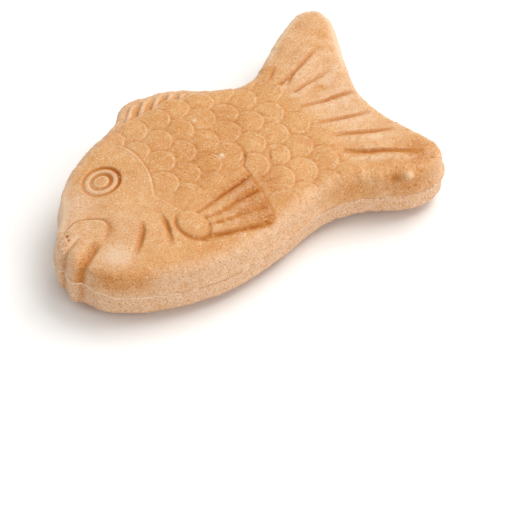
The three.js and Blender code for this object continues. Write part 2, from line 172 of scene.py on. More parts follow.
bodyShape = {
    "crown": 12.25, "rim": 10.4,            # top of the body, and where the shoulder ends
    "wall": (5.75, 7.5),                    # foot of the shoulder, at the tail and at the head
    "shoulder": (5.4, 10.0),                # outline to the moulded face, at the tail and at the head
    "head": (-30, -60),                     # where along the fish those two change
    "draft": 0.9, "crownRun": 20, "crownStart": 2,
    "reliefFull": 4.4,                      # relief fades in from the draft to this inset
    "bevel": 0.45, "lipTop": 1.25, "lipInset": 0.22,   # V at the seam and the proud lip above it
    "bevelRows": 4, "wallRows": 12, "fillPitch": 0.395, "fillGap": 0.6,
    "ringStep": 0.012, "rings": 16, "ringSlack": 0.02,    # shoulder rings lie at step * k squared
    "pad": (14, 10), "padFade": 1.25,       # flat spot below the lower wafer
    "uneven": [(17, 0.08), (6, 0.017), (2.2, 0.008)],   # wavelength and height of the lumps
    "sink": 1.2, "evenBelow": 2.5,          # lumps are mostly dips, and none are at the seam
    "softenRounds": 60,
}


def towardsHead(x, pair):
    start, end = bodyShape["head"]
    return pair[0] + (pair[1] - pair[0]) * smooth(-start, -end, -x)


def bodyHeight(x, inset):
    # rounded shoulder, then a face that rises gently to the crown
    b = bodyShape
    wall, width = towardsHead(x, b["wall"]), towardsHead(x, b["shoulder"])
    turn = np.arccos(np.clip((width - inset) / (width - b["draft"]), 0, 1))
    crown = smooth(width - b["crownStart"], b["shoulder"][0] + b["crownRun"], inset)
    return wall + (b["rim"] - wall) * np.sin(turn) + (b["crown"] - b["rim"]) * crown


# A groove's path runs from its root. Its widths are to the left and the right of the path, its
# strength goes from root to tip, and lit is how pale the crest to its right is.
grooveShape = {
    "strength": (0.6, 1, 0.6), "ragged": 0.12, "lit": 0, "flank": 0.5,
    "crest": (1.3, 1.4), "crestRise": 0.12, "crestRagged": (0.35, 0.2),
    "raggedSize": 3.2, "seed": 11,
}


class Skin:
    # what the mould leaves, for points seen from above: relief, and how far a place is creased, pale,
    # toasted or floury. The crease darkening is partly a browner bake and partly painted shade, pale is
    # partly pale batter and partly painted highlight, toast is partly painted shade, and flour is
    # partly painted highlight and painted reflection
    channels = ("height", "crease", "pale", "toast", "flour")

    def __init__(self, x, y, z, inset):
        self.x, self.y, self.z, self.inset = x, y, z, inset
        self.ragged = lumps(np.stack([x, y, 0 * x], axis=1), grooveShape["raggedSize"], grooveShape["seed"])
        for name in self.channels:
            setattr(self, name, np.zeros(len(x)))

    def toPoint(self, x, y, z, flat=1.0):
        return np.sqrt((self.x - x) ** 2 + (self.y - y) ** 2 + (flat * (self.z - z)) ** 2)

    def wornAndLit(self, share, least):
        # a ragged share, for pale rims, pale crests that are painted highlights, and the painted shadow at
        # the scales' feet
        return np.clip(1 - share + share * self.ragged, least, 1)

    def atLeast(self, name, value):
        setattr(self, name, np.maximum(getattr(self, name), value))

    def cover(self, share, **values):
        # a new surface over the old one; flour, with the painted highlights and reflections that share its
        # channel, comes later, over everything
        for name in self.channels[:-1]:
            setattr(self, name, getattr(self, name) * (1 - share) + values.get(name, 0) * share)

    def dent(self, dip, depth, dark):
        # a dent is lower and darker; its darkening is partly a browner bake and partly painted shade
        self.height -= depth * dip
        self.atLeast("crease", dark * dip)
        self.pale = self.pale * (1 - np.clip(dip, 0, 1))

    def carve(self, groove, mask=1.0):
        g = grooveShape | groove
        distance, along, side = nearest(throughKnots(g["path"], chainPitch), self.x, self.y)
        distance = distance + g["ragged"] * np.clip(self.ragged, 0, 1)
        left, right = g["widths"]
        strength = np.interp(along, np.linspace(0, 1, len(g["strength"])), g["strength"])
        dip = (1 - smooth(0, 1, distance / np.where(side > 0, left, right))) * strength * mask
        self.dent(dip, g["depth"], g["dark"])
        # the groove's flanks turn browner, partly a browner bake and partly painted shade
        self.atLeast("toast", g["flank"] * np.sqrt(dip) * min(g["dark"], 1))
        if g["lit"]:
            # the crest's paleness is a painted highlight
            crest = bell(distance - right, *g["crest"]) * (side < 0) * strength * mask
            crest = crest * self.wornAndLit(*g["crestRagged"])
            self.height += g["crestRise"] * crest
            self.atLeast("pale", g["lit"] * crest)


gillShape = {
    "line": [(-33, 34), (-29.5, 32.2), (-25, 28.1), (-24, 22), (-24.6, 15.4), (-26.3, 9.1), (-29, 3.8),
             (-31.2, -0.3), (-29.9, -4.4), (-28.9, -8.9), (-28.2, -12.3), (-31, -27), (-38, -33)],
    "shows": (0.06, 0.16, 0.68, 0.72), "faint": 0.45, "faintFrom": (0.45, 0.55),    # along the line
    "foot": (0.5, 0.4), "dark": 0.5, "rim": (0.32, -0.45), "rimRise": 0.16, "pale": 0.55,
    "drop": 0.12, "edge": (-0.25, 0.25), "headEdge": (-0.3, 0),
}


def layGill(skin, gillChain):
    g = gillShape
    distance, along, side = nearest(gillChain, skin.x, skin.y)
    behind = distance * side
    strength = window(along, *g["shows"]) * (1 - g["faint"] * smooth(*g["faintFrom"], along))
    # the dark line at the foot of the step is painted shade; the rim's paleness is partly pale batter and
    # partly a painted highlight
    skin.atLeast("crease", g["dark"] * bell(behind, *g["foot"]) * strength)
    rim = bell(behind, *g["rim"]) * strength
    skin.cover(1 - smooth(*g["edge"], behind), height=g["rimRise"] * rim - g["drop"], pale=g["pale"] * rim)
    return 1 - smooth(*g["headEdge"], behind)


sideFinShape = {
    "root": -28.9,                                       # the plate starts at this x
    "line": [(2.6, -6), (1.8, -11.5), (0.9, -16), (0.7, -19.7), (-0.2, -24.6), (-3.4, -34)],
    "above": (-12.6, 0.09), "below": (-28.2, -0.3),      # edges of the plate: height at the root, slope
    "swell": 3.4, "swellRun": 12,                        # the upper edge rises behind the root
    "edge": 0.35, "sink": 0.22, "sinkAlong": (-14, -2),
    "toast": 1.1, "toastAlong": (-24, -5), "toastDown": (6, 15),
    "endWidth": 0.38, "endDepth": 0.35, "endDark": 0.7, "endAcross": (-33, -4.5),
    "beyond": (0.9, 1.6), "beyondPale": 0.1, "beyondAcross": (-26, -5),
    "rays": [
        {"path": [(-24.4, -15.6), (-17.2, -14.6), (-9.5, -13.3), (1.5, -11.5)], "widths": (0.95, 1.7),
         "depth": 0.7, "dark": 1.25, "strength": (0.45, 0.7, 0.85, 1, 0.9), "lit": 0.35},
        {"path": [(-23.6, -19.2), (-16.7, -19.7), (-7.8, -19), (0.4, -18.8)], "widths": (1.0, 1.8),
         "depth": 0.7, "dark": 1.15, "strength": (0.6, 0.6, 0.75, 1, 0.9), "ragged": 0.5, "lit": 0.3},
        {"path": [(-24, -22.4), (-18.4, -23.8), (-12.4, -24.4), (-3.8, -25.9)], "widths": (1.0, 1.6),
         "depth": 0.55, "dark": 0.9, "strength": (0.9, 1, 0.8, 0.7, 0.6), "ragged": 0.5, "lit": 0.35},
        {"path": [(-27.6, -26.2), (-23, -28.1), (-17.4, -29.7), (-11.9, -31.2), (-6.7, -32.6)],
         "widths": (1.2, 2.6), "depth": 0.9, "dark": 1.05, "strength": (0.7, 1, 0.9, 1, 0.8)},
    ],
}
scaleGaps = [
    {"path": [(7.4, 4.2), (6.9, 0.4), (5.6, -3.4), (3.2, -5.6)], "widths": (0.8, 1.2),
     "depth": 0.55, "dark": 0.8, "strength": (0.2, 0.7, 1, 0.9), "ragged": 0.4},
    {"path": [(14.6, -5.5), (12.6, -8.6), (10.4, -11.8)], "widths": (0.8, 1.2),
     "depth": 0.4, "dark": 0.6, "strength": (0.3, 1, 0.4), "ragged": 0.4},
]


def onSideFin(x, y, finChain):
    # how far inside the side fin's plate a point lies
    f = sideFinShape
    root, (height, slope), (low, fall) = f["root"], f["above"], f["below"]
    distance, _, side = nearest(finChain, x, y)
    top = height + slope * (x - root) + f["swell"] * smooth(root, root + f["swellRun"], x) - y
    foot = y - low - fall * (x - root)
    return np.minimum.reduce([x - root, top, foot, -distance * side])


def laySideFin(skin, finChain):
    f = sideFinShape
    distance, _, side = nearest(finChain, skin.x, skin.y)
    plate = smooth(-f["edge"], f["edge"], onSideFin(skin.x, skin.y, finChain))
    # the plate is browner, partly a darker bake and partly painted shade
    toastedAndShaded = smooth(*f["toastAlong"], skin.x) * smooth(*f["toastDown"], -skin.y)
    skin.cover(plate, height=-f["sink"] * smooth(*f["sinkAlong"], skin.x), toast=f["toast"] * toastedAndShaded)
    for ray in f["rays"]:
        skin.carve(ray, plate)
    for gap in scaleGaps:
        skin.carve(gap)
    # the dark line along the plate's end is partly painted shade, and the pale band beyond it partly a
    # painted highlight
    end = bell(distance, f["endWidth"]) * within(skin.y, *f["endAcross"])
    skin.dent(end, f["endDepth"], f["endDark"])
    beyond = bell(distance * side, *f["beyond"]) * within(skin.y, *f["beyondAcross"])
    skin.atLeast("pale", f["beyondPale"] * beyond)


ballShape = {   # the side fin's root; groove and edge are shares of its radii
    "at": (-28.9, -19.2), "radii": (4.9, 6.6), "rise": 0.35, "sink": 0.05, "edge": (0.95, 1.05),
    "groove": (0.14, 1.09), "depth": 0.6, "dark": 0.85,
    "front": (-0.75, -0.66), "weakest": 0.25, "turn": (-0.6, 0.2),    # deepest away from the rays
}


def layBall(skin):
    b = ballShape
    dx, dy = ((value - at) / radius for value, at, radius in zip((skin.x, skin.y), b["at"], b["radii"]))
    r = np.hypot(dx, dy)
    facing = (b["front"][0] * dx + b["front"][1] * dy) / np.maximum(r, leastRadius)
    strength = b["weakest"] + (1 - b["weakest"]) * smooth(*b["turn"], facing)
    skin.cover(1 - smooth(*b["edge"], r), height=b["rise"] * (1 - r * r) - b["sink"])
    # the groove is deepest and darkest on its front side, and that darkening is partly painted shade
    skin.dent(bell(r, *b["groove"]) * strength, b["depth"], b["dark"])


scaleShape = {
    "radius": 5.7, "pitch": 9.1, "row": 9.8, "shift": 5.6, "slope": -0.06,
    "second": (-17.9, 31.9), "rows": 7, "perRow": 11, "lastX": 33.5,    # the first row's second scale
    "strayed": {(0, 3): 1.2, (0, 4): -0.9, (1, 4): 0.8, (1, 5): -1.0, (1, 6): 1.6},   # mm in y
    "unevenPlace": 0.25, "unevenSize": 0.03, "seed": 4, "overGill": 1,
    "depth": 0.68, "dome": 0.36, "step": 0.24, "reach": 2, "wornAndLit": (0.4, 0.15),
    "foot": (0.85, 0.35), "footLean": (-0.6, 0.6), "footDark": 0.56, "between": 0.1,
    "rim": (0.32, -0.45), "rimLean": (-0.3, 0.5), "rimRise": 0.11, "rimPale": 0.44,
}


def scaleCentres(gillChain, finChain):
    s = scaleShape
    draw = np.random.default_rng(s["seed"])
    row, step = np.divmod(np.arange(s["rows"] * s["perRow"]), s["perRow"])
    x = s["second"][0] + (step - 1) * s["pitch"] - row * s["shift"]
    y = s["second"][1] - row * s["row"] + s["slope"] * (x - s["second"][0])
    y += [s["strayed"].get(place, 0) for place in zip(row.tolist(), step.tolist())]
    x, y = x + draw.normal(0, s["unevenPlace"], len(x)), y + draw.normal(0, s["unevenPlace"], len(y))
    radius = s["radius"] * draw.normal(1, s["unevenSize"], len(x))
    distance, _, side = nearest(gillChain, x, y)
    showing = (distance * side > -s["overGill"]) & (onSideFin(x, y, finChain) < 0) & (x < s["lastX"])
    showing &= inside(coarseLoop, x, y)
    order = np.argsort(-x[showing])
    return np.stack([x, y, radius], axis=1)[showing][order]


def layScales(skin, centres):
    # tilted discs, each with its free edge towards the tail and lying over the next one
    s = scaleShape
    wornAndLit = skin.wornAndLit(*s["wornAndLit"])
    # what shows between the scales is a little darker, partly painted shade
    skin.cover(1.0, height=-s["depth"], crease=s["between"])
    for cx, cy, radius in centres:
        local = np.hypot(skin.x - cx, skin.y - cy) < radius + s["reach"]
        x, y = skin.x[local] - cx, skin.y[local] - cy
        r, lean = np.hypot(x, y) - radius, x / radius
        # the darkening at the foot of each step, towards the tail, is painted shadow
        foot = s["footDark"] * bell(r, *s["foot"]) * smooth(*s["footLean"], lean) * wornAndLit[local]
        # the rim's paleness is partly pale batter and partly a painted highlight
        rim = bell(r, *s["rim"]) * smooth(*s["rimLean"], lean)
        face = s["depth"] * (lean - 1) / 2 - s["dome"] * r / radius + s["rimRise"] * rim
        share = 1 - smooth(-s["step"], s["step"], r)
        skin.height[local] = skin.height[local] * (1 - share) + face * share
        skin.crease[local] = np.maximum(skin.crease[local], foot) * (1 - share)
        skin.pale[local] = skin.pale[local] * (1 - share) + s["rimPale"] * rim * wornAndLit[local] * share


backFinShape = {
    "line": [(-24, 35.4), (-16.4, 38.2), (-9, 38.1), (1.3, 36.6), (14.2, 31.8), (22, 27.4)],
    "from": (-21.5, 27), "to": 20, "drop": 1.2, "scallop": 1.3, "edge": (-0.25, 0.25),
    "rib": 0.8, "ribPitch": 6.1, "ribStart": 2.75, "lean": 1.15,
    "ribSharp": 1.3, "ribLow": -0.7, "ribHigh": 0.8, "ribInset": (3.2, 5.4),
    "foot": (0.55, 0.3), "footDark": 0.6, "valley": (0.1, -0.6), "valleyOut": (7, 1), "valleyDark": 0.3,
    "crestPale": 0.55, "crestFrom": 0.1, "rim": (0.35, -0.45), "rimAlong": (-23, -20, 14, 18), "rimPale": 0.5,
}


def layBackFin(skin, centres):
    b = backFinShape
    distance, _, side = nearest(throughKnots(b["line"], chainPitch), skin.x, skin.y)
    clear = np.minimum.reduce([np.hypot(skin.x - cx, skin.y - cy) - radius for cx, cy, radius in centres])
    front, low = b["from"]
    out = np.minimum.reduce([distance * side + b["scallop"], clear, skin.x - front, b["to"] - skin.x,
                             skin.y - low])
    turn = 2 * math.pi * (skin.x - b["lean"] * skin.y - b["ribStart"]) / b["ribPitch"]
    ribs = np.clip(b["ribSharp"] * np.cos(turn), b["ribLow"], b["ribHigh"])
    ribs = ribs * smooth(*b["ribInset"], skin.inset)
    # the dark at the fin's foot is painted shadow, the dark between its ribs partly painted shade, and the
    # pale rib crests and the pale rim along the fin partly painted highlight
    valley = b["valleyDark"] * smooth(*b["valley"], ribs) * smooth(*b["valleyOut"], out)
    dark = np.maximum(b["footDark"] * bell(out, *b["foot"]), valley)
    pale = b["crestPale"] * np.clip(ribs + b["crestFrom"], 0, 1)
    skin.cover(smooth(*b["edge"], out), height=b["rib"] * ribs - b["drop"], crease=dark, pale=pale)
    skin.atLeast("pale", b["rimPale"] * bell(out, *b["rim"]) * window(skin.x, *b["rimAlong"]))


eyeShape = {
    "at": (-41.2, 17.5), "long": 7.9, "wide": 6.8, "heading": 31,     # an oval, in mm and degrees
    "edge": 7.4, "pupil": 2.75, "pupilRise": 0.1, "soft": 0.32,
    "grooves": [(3.65, 0.85, 0.4, 0.85), (6.75, 0.7, 0.5, 0.95)],     # radius, half width, depth, dark
    "rims": [(0.6, 0.4, 4.85), (0.35, 0.35, 5.75), (0.5, 0.4, 2.4)],  # pale share, width, radius
    "gillSide": (0.98, -0.2), "shade": (0.8, 0.3),                    # deepest towards the gill
    "grid": 0.27, "margin": 0.6, "gridGap": 0.3,
}


def layEye(skin):
    e = eyeShape
    x, y, heading = skin.x - e["at"][0], skin.y - e["at"][1], math.radians(e["heading"])
    c, s = math.cos(heading), math.sin(heading)
    r = np.hypot((x * c + y * s) / e["long"], (y * c - x * s) / e["wide"]) * e["edge"]
    facing = (e["gillSide"][0] * x + e["gillSide"][1] * y) / np.maximum(np.hypot(x, y), leastRadius)
    # the grooves are deeper and darker towards the gill, and that darkening is painted shade
    shade = e["shade"][0] + e["shade"][1] * facing
    for radius, half, depth, dark in e["grooves"]:
        groove = 1 - smooth(half - e["soft"], half + e["soft"], np.abs(r - radius))
        skin.dent(groove * shade, depth, dark)
    skin.height += e["pupilRise"] * bell(r, e["pupil"])
    # the pale rings are partly painted highlights on the ridges
    skin.atLeast("pale", sum(share * bell(r, width, radius) for share, width, radius in e["rims"]))


# grooves of the cheek, behind the mouth
cheekFolds = [
    {"path": [(-42.4, -7), (-43.2, -9.4), (-45.2, -12.4), (-48.2, -15.1), (-51.6, -17.5), (-54.6, -19.6)],
     "widths": (1.2, 2.6), "depth": 0.85, "dark": 0.9, "strength": (0, 0.6, 1, 1, 0.7, 0.35, 0)},
    {"path": [(-34.4, -5.6), (-34.8, -9.6), (-35.9, -13.6), (-37.3, -17.3), (-40.4, -22.8)],
     "widths": (1.1, 2.1), "depth": 0.85, "dark": 1.0, "strength": (0, 0.35, 0.9, 1, 0.7, 0)},
]
valleyShape = {   # the fold between the lower lip and the chin, steep to its left
    "path": [(-58.2, -5.9), (-62.4, -7.6), (-66.5, -9.4), (-69.8, -11.1), (-75.6, -14.2)],
    "steep": 2.1, "gentle": 4.4, "depth": 1.35, "starts": (0, 0.35),
    "brownWidth": 0.6, "brownStarts": (0, 0.25), "toast": 0.85, "dark": 0.4,
    "lowerShare": 0.75, "lowerDown": (1.5, 7), "lowerAlong": (-64, -54),
}
slitShape = {     # between the lips
    "path": [(-62.6, 0.1), (-67, -0.9), (-70.6, -1.9), (-76, -4.1)],
    "width": 0.935, "depth": 1.1, "starts": (0, 0.35),
    "darkWidth": 0.7, "darkStarts": (0.1, 0.4), "dark": 0.4,
    "streak": (0.32, -0.7), "streakShows": (0, 0.06, 0.35, 0.6), "pale": 0.65,
}
lipShape = {
    "path": [(-68, 4.6), (-63.7, 6.6), (-59.9, 7.2), (-57.3, 6.3), (-54.7, 4.5), (-52.8, 2.6),
             (-52.1, 0.3), (-53, -2.8), (-54.9, -4.6), (-57.3, -6), (-60.5, -7)] + valleyShape["path"][2:],
    "width": 0.55, "widens": 0.8, "widensAlong": (0.3, 0.5), "shows": (0, 0.1, 0.5, 0.66),
    "depth": 0.45, "dark": 0.7, "rise": 0.45, "run": 0.9, "endsAlong": (-54, -48), "endsAcross": (6, 9),
    "rim": (0.4, -0.75), "rimEnds": (0.35, 0.5), "pale": 0.9,
}


def layLips(skin):
    m = lipShape
    distance, along, side = nearest(throughKnots(m["path"], chainPitch), skin.x, skin.y)
    width = m["width"] + m["widens"] * smooth(*m["widensAlong"], along)
    onLine = window(along, *m["shows"])
    # the lip line's darkening is partly painted shade, and the pale rim beside it a painted highlight
    skin.dent(bell(distance, width) * onLine, m["depth"], m["dark"])
    lips = np.where(side < 0, smooth(0, m["run"], distance), 0)
    ends = (1 - smooth(*m["endsAlong"], skin.x)) * (1 - smooth(*m["endsAcross"], skin.y))
    skin.height += m["rise"] * lips * ends
    rim = bell(distance * side, *m["rim"]) * onLine * (1 - smooth(*m["rimEnds"], along))
    skin.atLeast("pale", m["pale"] * rim)


def layMouthFolds(skin):
    # the two folds of the mouth run on down the wall
    v, s = valleyShape, slitShape
    distance, along, side = nearest(throughKnots(v["path"], chainPitch), skin.x, skin.y)
    width = np.where(side > 0, v["steep"], v["gentle"])
    skin.height -= v["depth"] * (1 - smooth(0, 1, distance / width)) * smooth(*v["starts"], along)
    # the valley is browner and darker along its bottom, partly a darker bake and partly painted shade
    brownedAndShaded = bell(distance, width * v["brownWidth"]) * smooth(*v["brownStarts"], along)
    skin.atLeast("toast", v["toast"] * brownedAndShaded)
    skin.atLeast("crease", v["dark"] * brownedAndShaded ** 2)
    skin.flour *= 1 - brownedAndShaded
    distance, along, side = nearest(throughKnots(s["path"], chainPitch), skin.x, skin.y)
    skin.height -= s["depth"] * bell(distance, s["width"]) * smooth(*s["starts"], along)
    # the slit's dark line is painted shade, and the pale streak beside it a painted highlight
    skin.atLeast("crease", s["dark"] * bell(distance, s["darkWidth"]) * smooth(*s["darkStarts"], along))
    skin.atLeast("pale", s["pale"] * bell(distance * side, *s["streak"]) * window(along, *s["streakShows"]))


tailFade = 4        # the scales give way over this much, in front of the first ray
tailRays = [
    {"path": [(36.8, 24.4), (41.6, 28.2)], "widths": (1.3, 1.3), "depth": 0.5, "dark": 0.65},
    {"path": [(38.3, 19.9), (43.3, 21.1), (52, 24), (59.4, 26.9)], "widths": (2.0, 1.2),
     "depth": 0.7, "dark": 0.8, "strength": (1, 0.9, 0.8, 0.6, 0.25), "lit": 0.55},
    {"path": [(39.8, 18), (44.2, 21.2)], "widths": (1.0, 1.0), "depth": 0.5, "dark": 0.7},
    {"path": [(39.6, 13.2), (46, 14.1), (51.6, 14.8), (56.2, 15.9)], "widths": (1.8, 1.2),
     "depth": 0.65, "dark": 0.75, "strength": (1, 0.8, 0.7, 0.6, 0.2), "lit": 0.5},
    {"path": [(37, 5.7), (44.3, 4.1), (49.2, 3.9), (56.6, 3)], "widths": (1.1, 1.9),
     "depth": 0.85, "dark": 0.9, "strength": (0.5, 0.6, 1, 0.9, 0.5), "lit": 0.45},
    {"path": [(37, -4.2), (46.2, -6.9), (49.9, -7.7), (54.6, -8.5)], "widths": (1.2, 2.0),
     "depth": 0.7, "dark": 0.8, "strength": (0.4, 0.8, 1, 0.9, 0.3), "lit": 0.45},
    {"path": [(37.5, -12.6), (43.8, -15.1), (49.7, -17.8), (56.6, -20.5)], "widths": (1.2, 2.0),
     "depth": 0.75, "dark": 0.85, "strength": (0.5, 0.9, 1, 0.9, 0.4), "lit": 0.5},
    {"path": [(36, -20.4), (40.8, -24.1), (46.1, -27.3), (51.8, -31.2), (57.6, -35)], "widths": (1.1, 2.1),
     "depth": 0.9, "dark": 0.95, "strength": (0.6, 1, 1, 0.9, 0.4), "lit": 0.6},
]


def layTail(skin):
    start = tailRays[0]["path"][0][0]
    onTail = smooth(start - tailFade, start, skin.x)
    skin.crease *= 1 - onTail
    for ray in tailRays:
        skin.carve(ray, onTail)


wallShape = {
    "wall": (0.5, 7), "wallFlour": 0.7, "lowerFlour": 0.85,
    # the nose's pale edge is partly flour and partly painted reflection at grazing angles
    "nose": (-62, -48), "noseInset": (3, 12), "noseAcross": (-14, 0), "noseFlourAndSheen": 0.8,
    "tail": (33, 46), "tailMiddle": 4, "tailOut": (8, 22), "tailFade": 0.4, "tailFlour": 0.5,
    # the pale shoulder of the upper lobe, and the pale rim along it and along the brow, are painted
    # reflection at grazing angles
    "lobe": (38, 48), "lobeInset": (1.2, 3.2), "lobeAcross": (10, 20), "lobeEdgeReflection": 0.8,
    "rim": (1.5, 1.9), "rimLobe": (38, 46), "rimBrow": (-56, -46), "browAcross": (4, 10), "rimPale": 0.75,
    # shine is a painted highlight on the chin's shoulder
    "shine": 0.5, "shineFrom": 0.8, "shineWidth": 0.7, "flatten": 1.6,
    # x, y, height, radius and share of each pale spot, partly flour and partly painted highlight, and of
    # each browned one; the browned belts on the walls at the chin and the lower lobe are partly painted shade
    "paleSpotsAndHighlights": [(-59.6, -15.5, 11.5, 7, 1.0), (-50, -4, 12, 15, 0.32), (-64, 4, 10, 12, 0.5),
               (-33, 6, 12, 12, 0.15), (-24, 30, 11, 12, 0.15), (-57, 15, 10, 11, 0.7)],
    "brownedAndShaded": [(-66.2, -21.5, 7, 7.5, 0.75), (-59, -27.5, 7.5, 7, 0.6), (48, -43, 6, 10, 0.7),
                (56.3, -35.5, 10, 6.5, 0.95), (30, -34, 5, 12, 0.35), (46.5, -34.5, 10, 6, 0.3),
                (-8, 4, 12, 15, 0.5), (11, 12, 12, 9, 0.45), (5, -17, 11, 7, 0.75),
                (39.5, 28.8, 9.5, 3, 0.5), (44.9, 9.9, 11, 2.5, 0.45), (48.5, 10, 11, 2, 0.45),
                (59.3, 26.9, 9.7, 2.5, 0.45), (64.5, 31.5, 9.8, 2.5, 0.4), (33, 22, 10, 5, 0.35)],
}


def layWalls(skin):
    # the wall is floury and pinkish; the nose is pale, partly flour and partly painted reflection; the
    # upper lobe's shoulder and rim and the brow's rim are pale as painted reflection; the belt at the chin
    # and the lower lobe is browner, partly a darker bake and partly painted shade
    w = wallShape
    wall = 1 - smooth(*w["wall"], skin.inset)
    nose = (1 - smooth(*w["nose"], skin.x)) * (1 - smooth(*w["noseInset"], skin.inset))
    nose = nose * smooth(*w["noseAcross"], skin.y)
    tail = 1 - w["tailFade"] * smooth(*w["tailOut"], np.abs(skin.y - w["tailMiddle"]))
    tail = smooth(*w["tail"], skin.x) * tail
    lobe = (1 - smooth(*w["lobeInset"], skin.inset)) * smooth(*w["lobe"], skin.x)
    lobe = lobe * smooth(*w["lobeAcross"], skin.y)
    skin.flour = np.maximum.reduce([w["wallFlour"] * wall, w["noseFlourAndSheen"] * nose, w["tailFlour"] * tail,
                                    w["lobeEdgeReflection"] * lobe])
    onLobe = smooth(*w["rimLobe"], skin.x) * smooth(*w["lobeAcross"], skin.y)
    onBrow = (1 - smooth(*w["rimBrow"], skin.x)) * smooth(*w["browAcross"], skin.y)
    # the pale rim along the upper lobe and the brow is painted reflection at grazing angles
    skin.atLeast("pale", w["rimPale"] * bell(skin.inset, *w["rim"]) * np.maximum(onLobe, onBrow))
    for *place, radius, share in w["paleSpotsAndHighlights"]:
        away = skin.toPoint(*place)
        skin.atLeast("flour", share * bell(away, radius))
        # the strongest spot, on the chin's shoulder, also gets a painted highlight
        if share > w["shineFrom"]:
            skin.atLeast("pale", w["shine"] * bell(away, radius * w["shineWidth"]))
    # browned spots; the belts on the walls at the chin and the lower lobe are partly painted shade
    for *place, radius, share in w["brownedAndShaded"]:
        spot = bell(skin.toPoint(*place, w["flatten"]), radius)
        skin.flour *= 1 - spot
        skin.atLeast("toast", share * spot)


# small faults of the casting: place, width and height in mm, and what they do to the colour; the
# pale top of the bump on the lower lobe is a painted highlight, and the dark in the dents is partly
# painted shade
marks = [
    {"at": (47.1, -41.8, 7.6), "width": 2.1, "rise": 1.4, "pale": 0.15},
    {"at": (48.1, -41.9, 8.4), "width": 1.33, "rise": 0.25, "pale": 0.75},
    {"at": (43.0, -39.9, 7.6), "width": 1.82, "rise": -0.9, "crease": 0.9},
    {"at": (60.0, -23.7, 9.4), "width": 0.49, "rise": -0.35, "crease": 0.9},
    {"at": (-0.8, 1.9, 12), "width": 0.945, "rise": 0.7, "pale": 1.4},
    {"at": (2.2, 21.7, 11.7), "width": 0.7, "rise": 0.3, "pale": 1.3},
    {"at": (-66.5, 3.4, 9.8), "width": 0.56, "rise": -0.6, "crease": 1.5},
    {"at": (-67.4, 1.4, 9.9), "width": 0.455, "rise": -0.5, "crease": 1.3},
]


def layMarks(skin):
    for mark in marks:
        share = bell(skin.toPoint(*mark["at"]), mark["width"])
        skin.height = skin.height + mark["rise"] * share
        for name in ("crease", "pale"):
            skin.atLeast(name, mark.get(name, 0) * share)


def mouldedSkin(x, y, z, inset):
    gillChain = throughKnots(gillShape["line"], chainPitch)
    finChain = throughKnots(sideFinShape["line"], chainPitch)
    centres = scaleCentres(gillChain, finChain)
    skin = Skin(x, y, z, inset)
    layScales(skin, centres)
    layTail(skin)
    laySideFin(skin, finChain)
    onHead = layGill(skin, gillChain)
    layEye(skin)
    for fold in cheekFolds:
        skin.carve(fold, onHead)
    layLips(skin)
    layBall(skin)
    layBackFin(skin, centres)
    onFace = smooth(bodyShape["draft"], bodyShape["reliefFull"], inset)
    for name in skin.channels:
        setattr(skin, name, getattr(skin, name) * onFace)
    layWalls(skin)
    layMouthFolds(skin)
    return skin


def gridPoints(low, high, pitch):
    # an even triangular grid over a rectangle of the plan
    rows = np.arange(low[1], high[1], pitch * math.sqrt(3) / 2)
    columns = np.arange(low[0], high[0], pitch)
    x = (columns[None, :] + (np.arange(len(rows)) % 2)[:, None] * pitch / 2).ravel()
    return x, np.repeat(rows, len(columns))


def fillPoints(lowestInset):
    # the face inside the last ring, with a finer grid round the eye
    eye, reach = np.array(eyeShape["at"]), eyeShape["long"] + eyeShape["margin"]
    x, y = gridPoints(outline.min(0), outline.max(0), bodyShape["fillPitch"])
    fineX, fineY = gridPoints(eye - reach, eye + reach, eyeShape["grid"])
    far = np.hypot(x - eye[0], y - eye[1]) > reach
    near = np.hypot(fineX - eye[0], fineY - eye[1]) < reach - eyeShape["gridGap"]
    x, y = np.concatenate([x[far], fineX[near]]), np.concatenate([y[far], fineY[near]])
    onPlan = inside(coarseLoop, x, y)
    x, y = x[onPlan], y[onPlan]
    inset = nearest(coarseLoop, x, y)[0]
    kept = inset > lowestInset
    return x[kept], y[kept], inset[kept]


def trianglesWithin(x, y):
    # triangles between the points, inside the loop that the first of them make, facing up
    count = len(outline)
    edges = [(k, (k + 1) % count) for k in range(count)]
    seen = [Vector(p) for p in np.stack([x, y], axis=1).tolist()]
    _, _, faces, first, _, _ = delaunay_2d_cdt(seen, edges, [], 0, 1e-6, True)
    triangles = np.array([[first[v][0] for v in face] for face in faces])
    loop = np.stack([x[:count], y[:count]], axis=1)
    kept = (triangles >= count).any(axis=1)
    asked = triangles[~kept]
    kept[~kept] = inside(np.concatenate([loop, loop[:1]]), x[asked].mean(1), y[asked].mean(1))
    return triangles[kept]


def planMesh():
    # points of the face and the shoulder seen from above, with their insets, and their triangles
    b = bodyShape
    x, y, inset = [], [], []
    for k in range(b["rings"] + 1):
        at = b["draft"] + b["ringStep"] * k * k
        ring = outline + at * inwards
        kept = nearest(outlineLoop, *ring.T)[0] > at - b["ringSlack"] if k else slice(None)
        x.append(ring[kept, 0])
        y.append(ring[kept, 1])
        inset.append(np.full(len(x[-1]), at))
    for values, more in zip((x, y, inset), fillPoints(at + b["fillPitch"] * b["fillGap"])):
        values.append(more)
    x, y, inset = (np.concatenate(values) for values in (x, y, inset))
    return x, y, inset, trianglesWithin(x, y)


